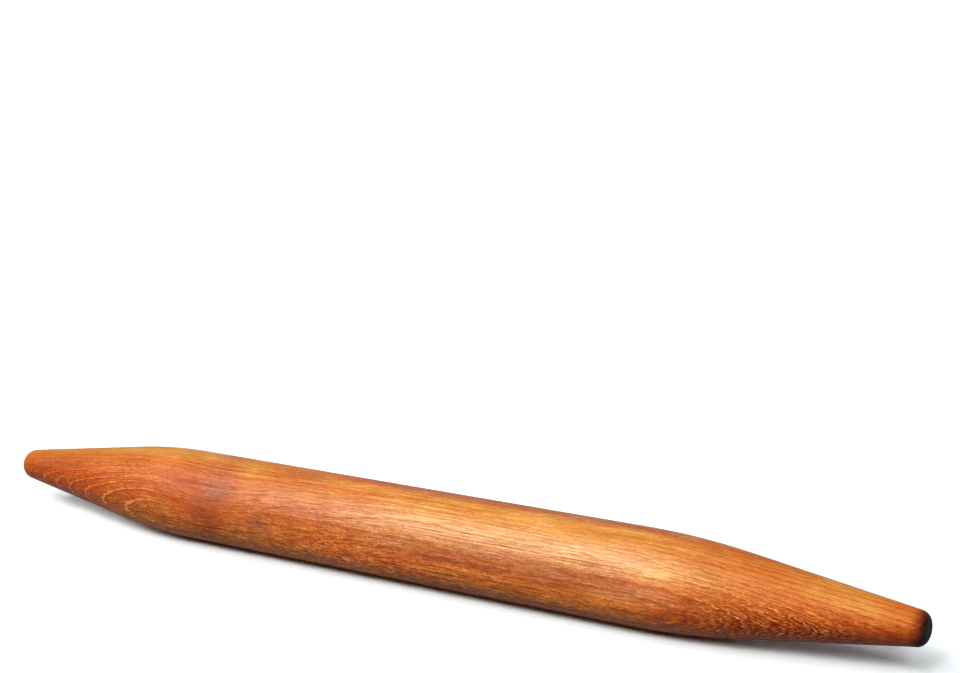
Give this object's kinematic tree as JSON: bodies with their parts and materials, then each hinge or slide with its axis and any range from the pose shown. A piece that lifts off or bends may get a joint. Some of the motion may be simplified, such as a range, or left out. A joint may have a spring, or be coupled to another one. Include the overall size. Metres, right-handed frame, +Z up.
{
  "type": "french rolling pin",
  "caption": "Turned wooden rolling pin without handles: a straight barrel that eases into long slim tapers with rounded tips, the tip at +X under a thin black coat.",
  "frame": {"origin": "on the surface the pin lies on, below the middle of its length", "axes": "+X along the pin's axis, towards the black end; +Z up; +Y across the pin"},
  "size_m": [0.508, 0.0444, 0.0445],
  "materials": {
    "oiled_wood": "satin",
    "black_coat": "satin"
  },
  "bodies": {
    "root": {"turned_body": "oiled_wood", "end_coat": "black_coat"}
  },
  "joints": []
}
